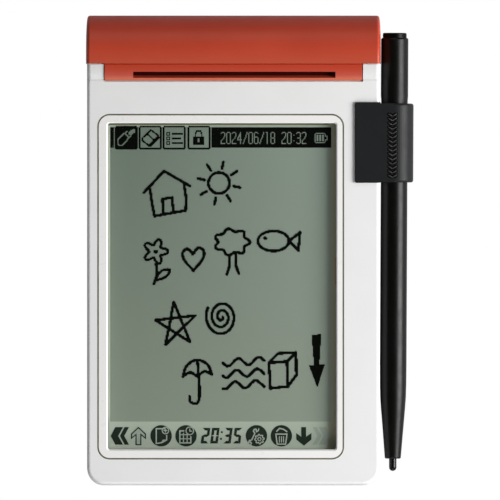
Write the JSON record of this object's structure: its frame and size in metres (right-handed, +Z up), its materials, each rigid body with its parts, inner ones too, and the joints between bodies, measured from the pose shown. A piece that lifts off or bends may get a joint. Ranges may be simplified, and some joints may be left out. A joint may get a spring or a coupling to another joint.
{
  "type": "personal digital assistant",
  "caption": "Wedge-shaped pen-driven memo organiser with a rolled spine, reflective screen, side clip and stylus, with its inner parts.",
  "frame": {"origin": "centre of the bounding box in X and Y, at the desk plane under the rubber feet", "axes": "+Z up from the desk, +Y from the front edge towards the rolled spine, +X towards the stylus"},
  "size_m": [0.0984, 0.141, 0.0252],
  "materials": {
    "white_case": "fine satin",
    "white_bezel": "semi-gloss",
    "bronze_seal": "satin khaki",
    "touch_glass": "clear",
    "gasket": "matt",
    "lcd_glass": "reflective grey-green",
    "frame_plastic": "matt",
    "amber_flex": "satin",
    "green_board": "solder mask",
    "black_chips": "matt",
    "ivory_sockets": "matt",
    "steel": "zinc plated",
    "nickel": "nickel plated",
    "led_white": "gloss",
    "dark_red_clear": "smoked red",
    "cell_wrap": "printed film over steel can",
    "red_wire": "satin",
    "black_wire": "satin",
    "grey_rubber": "matt",
    "silver_label": "brushed film",
    "red_sleeve": "satin",
    "grey_button": "matt",
    "black_plastic": "satin"
  },
  "bodies": {
    "casing": {"front_cover": "white_case", "screen_bezel": "white_bezel", "bezel_seal": "bronze_seal", "touch_panel": "touch_glass", "touch_gasket": "gasket", "lcd_panel": "lcd_glass", "lcd_frame": "frame_plastic", "lcd_flex": "amber_flex", "touch_flex": "amber_flex", "frame_screws": "steel", "main_board": "green_board", "board_chips": "black_chips", "board_connectors": "ivory_sockets", "crystal_can": "steel", "reset_switch": "steel", "board_screws": "steel", "led_board": "green_board", "alarm_leds": "led_white", "light_guide": "dark_red_clear", "buzzer": "black_chips", "rear_cover": "white_case", "battery_front": "cell_wrap", "battery_middle": "cell_wrap", "battery_rear": "cell_wrap", "battery_springs": "nickel", "battery_contacts": "nickel", "battery_leads": "red_wire", "buzzer_leads": "black_wire", "case_screws": "steel", "rubber_feet": "grey_rubber", "rating_label": "silver_label", "spine_cover": "red_sleeve"},
    "battery_door": {"battery_door": "white_case"},
    "reset_button": {"reset_button": "grey_button"},
    "pen_clip": {"pen_clip": "black_plastic"},
    "stylus": {"stylus_barrel": "black_plastic", "stylus_tip": "black_plastic", "stylus_cap": "black_plastic"}
  },
  "joints": [
    {"name": "stylus_slide", "type": "slide", "parent": "pen_clip", "child": "stylus", "axis": [0.0047, 0.9962, 0.0872], "range_m": [0, 0.112]},
    {"name": "clip_pull_off", "type": "slide", "parent": "casing", "child": "pen_clip", "axis": [1, 0, 0], "range_m": [0, 0.012]},
    {"name": "battery_door_hinge", "type": "hinge", "parent": "casing", "child": "battery_door", "pos_m": [-0.00492, 0.0297, 0.0006], "axis": [-1, 0, 0], "range_deg": [0, 75]},
    {"name": "reset_press", "type": "slide", "parent": "casing", "child": "reset_button", "axis": [0, 0, 1], "range_m": [0, 0.0005], "stiffness_N_per_m": 2000}
  ]
}
